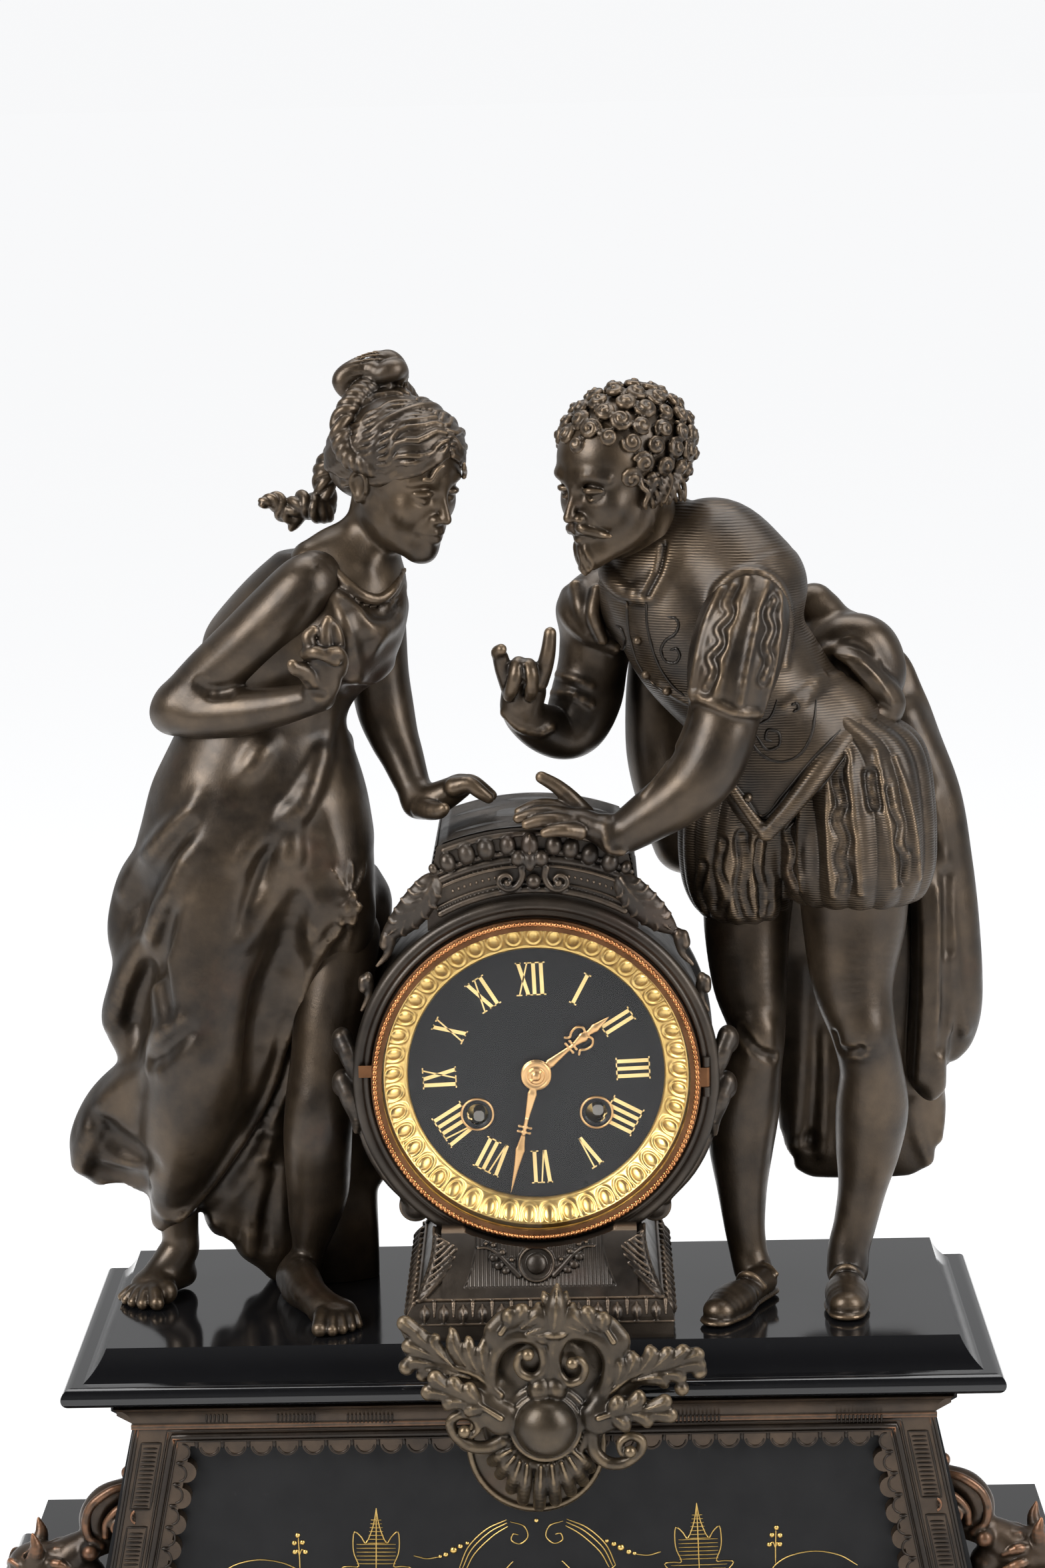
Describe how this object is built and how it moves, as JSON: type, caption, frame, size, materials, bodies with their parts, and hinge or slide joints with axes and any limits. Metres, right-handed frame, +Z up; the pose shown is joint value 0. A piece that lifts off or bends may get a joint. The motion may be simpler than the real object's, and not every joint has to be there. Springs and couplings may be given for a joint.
{
  "type": "figural mantel clock",
  "caption": "Mantel clock: a drum case with dial and hands between a standing woman and a bending man, on a moulded slab and a flared base; hands, movement, pendulum and doors move.",
  "frame": {"origin": "middle of the footprint, on the surface the feet stand on", "axes": "+Z up, -Y towards the viewer of the dial, +X to the viewer's right"},
  "size_m": [0.48, 0.212, 0.5695],
  "materials": {
    "patinated_bronze": "dark brown patinated bronze with worn copper-coloured edges",
    "polished_stone": "polished black stone",
    "slate": "fine matte black slate with gilt incised lines",
    "copper_gilt": "bright copper-coloured gilding",
    "gilt": "gilded brass",
    "dial_black": "matte black dial with gilt numerals",
    "glass": "clear glass",
    "movement_brass": "polished brass",
    "steel": "polished steel"
  },
  "bodies": {
    "case": {"feet": "polished_stone", "plinth": "polished_stone", "base_body": "polished_stone", "front_panel": "slate", "front_frame": "patinated_bronze", "top_slab": "polished_stone", "side_brackets": "patinated_bronze", "cartouche": "patinated_bronze", "pedestal": "patinated_bronze", "tie_bolts": "steel", "drum_case": "patinated_bronze", "drum_hood": "patinated_bronze", "drum_leaves": "patinated_bronze", "back_ring": "movement_brass", "sight_ring": "gilt", "dial": "dial_black", "winding_collets": "gilt", "front_plate": "movement_brass", "back_plate": "movement_brass", "plate_pillars": "movement_brass", "suspension_cock": "movement_brass", "bell": "movement_brass", "bell_stand": "steel", "movement_straps": "movement_brass", "strap_screws": "steel", "woman_dress": "patinated_bronze", "woman_head": "patinated_bronze", "woman_left_arm": "patinated_bronze", "woman_left_leg": "patinated_bronze", "woman_right_arm": "patinated_bronze", "woman_right_foot": "patinated_bronze", "man_cape": "patinated_bronze", "man_doublet": "patinated_bronze", "man_head": "patinated_bronze", "man_left_arm": "patinated_bronze", "man_left_leg": "patinated_bronze", "man_right_arm": "patinated_bronze", "man_right_leg": "patinated_bronze", "man_trunk_hose": "patinated_bronze"},
    "bezel": {"bezel": "copper_gilt", "dial_glass": "glass"},
    "back_door": {"back_door": "movement_brass"},
    "minute": {"minute_hand": "gilt", "centre_arbor": "movement_brass"},
    "hour": {"hour_hand": "gilt", "hour_wheel": "movement_brass"},
    "minute_wheel": {"minute_wheel": "movement_brass"},
    "going_barrel": {"going_barrel": "movement_brass", "going_mainspring": "steel"},
    "going_arbor": {"going_winding_arbor": "steel"},
    "intermediate": {"intermediate_wheel": "movement_brass"},
    "third": {"third_wheel": "movement_brass"},
    "escape": {"escape_wheel": "movement_brass"},
    "pallets": {"pallets": "steel"},
    "pendulum": {"pendulum": "movement_brass"},
    "strike_barrel": {"strike_barrel": "movement_brass", "strike_mainspring": "steel"},
    "strike_arbor": {"strike_winding_arbor": "steel"},
    "pin_wheel": {"pin_wheel": "movement_brass"},
    "hammer": {"hammer": "steel"}
  },
  "joints": [
    {"name": "minute_turn", "type": "hinge", "parent": "case", "child": "minute", "pos_m": [0.0035, 0, 0.2767], "axis": [0, 1, 0], "continuous": true},
    {"name": "hour_turn", "type": "hinge", "parent": "case", "child": "hour", "pos_m": [0.0035, 0, 0.2767], "axis": [0, 1, 0], "continuous": true},
    {"name": "minute_wheel_turn", "type": "hinge", "parent": "case", "child": "minute_wheel", "pos_m": [0.0035, 0, 0.2647], "axis": [0, 1, 0], "continuous": true},
    {"name": "going_barrel_turn", "type": "hinge", "parent": "case", "child": "going_barrel", "pos_m": [0.02868, 0, 0.26057], "axis": [0, 1, 0], "continuous": true},
    {"name": "going_winding", "type": "hinge", "parent": "case", "child": "going_arbor", "pos_m": [0.02868, 0, 0.26057], "axis": [0, 1, 0], "continuous": true},
    {"name": "intermediate_turn", "type": "hinge", "parent": "case", "child": "intermediate", "pos_m": [0.02317, 0, 0.28032], "axis": [0, 1, 0], "continuous": true},
    {"name": "third_turn", "type": "hinge", "parent": "case", "child": "third", "pos_m": [-0.01056, 0, 0.29092], "axis": [0, 1, 0], "continuous": true},
    {"name": "escape_turn", "type": "hinge", "parent": "case", "child": "escape", "pos_m": [0.0035, 0, 0.2967], "axis": [0, 1, 0], "continuous": true},
    {"name": "pendulum_swing", "type": "hinge", "parent": "case", "child": "pendulum", "pos_m": [0.0035, 0, 0.3097], "axis": [0, 1, 0], "range_deg": [-4, 4]},
    {"name": "pallet_rock", "type": "hinge", "parent": "case", "child": "pallets", "pos_m": [0.0035, 0, 0.3097], "axis": [0, 1, 0], "range_deg": [-5, 5]},
    {"name": "strike_barrel_turn", "type": "hinge", "parent": "case", "child": "strike_barrel", "pos_m": [-0.02049, 0, 0.25885], "axis": [0, 1, 0], "continuous": true},
    {"name": "strike_winding", "type": "hinge", "parent": "case", "child": "strike_arbor", "pos_m": [-0.02049, 0, 0.25885], "axis": [0, 1, 0], "continuous": true},
    {"name": "pin_wheel_turn", "type": "hinge", "parent": "case", "child": "pin_wheel", "pos_m": [-0.0298, 0, 0.27712], "axis": [0, 1, 0], "continuous": true},
    {"name": "hammer_lift", "type": "hinge", "parent": "case", "child": "hammer", "pos_m": [-0.0165, 0, 0.3077], "axis": [0, 1, 0], "range_deg": [0, 25]},
    {"name": "bezel_open", "type": "hinge", "parent": "case", "child": "bezel", "pos_m": [0.0731, -0.04278, 0.2767], "axis": [0, 0, 1], "range_deg": [0, 100]},
    {"name": "back_door_open", "type": "hinge", "parent": "case", "child": "back_door", "pos_m": [0.0626, 0.04228, 0.2767], "axis": [0, 0, -1], "range_deg": [0, 100]}
  ],
  "couplings": [
    {"joint": "hour_turn", "follows": "minute_turn", "ratio": 0.083333},
    {"joint": "minute_wheel_turn", "follows": "minute_turn", "ratio": -0.33333},
    {"joint": "intermediate_turn", "follows": "minute_turn", "ratio": -0.19048},
    {"joint": "going_barrel_turn", "follows": "minute_turn", "ratio": 0.032653},
    {"joint": "third_turn", "follows": "minute_turn", "ratio": -7.3333},
    {"joint": "escape_turn", "follows": "minute_turn", "ratio": 43.333},
    {"joint": "pallet_rock", "follows": "pendulum_swing", "ratio": 1},
    {"joint": "pin_wheel_turn", "follows": "strike_barrel_turn", "ratio": -5.8333}
  ]
}
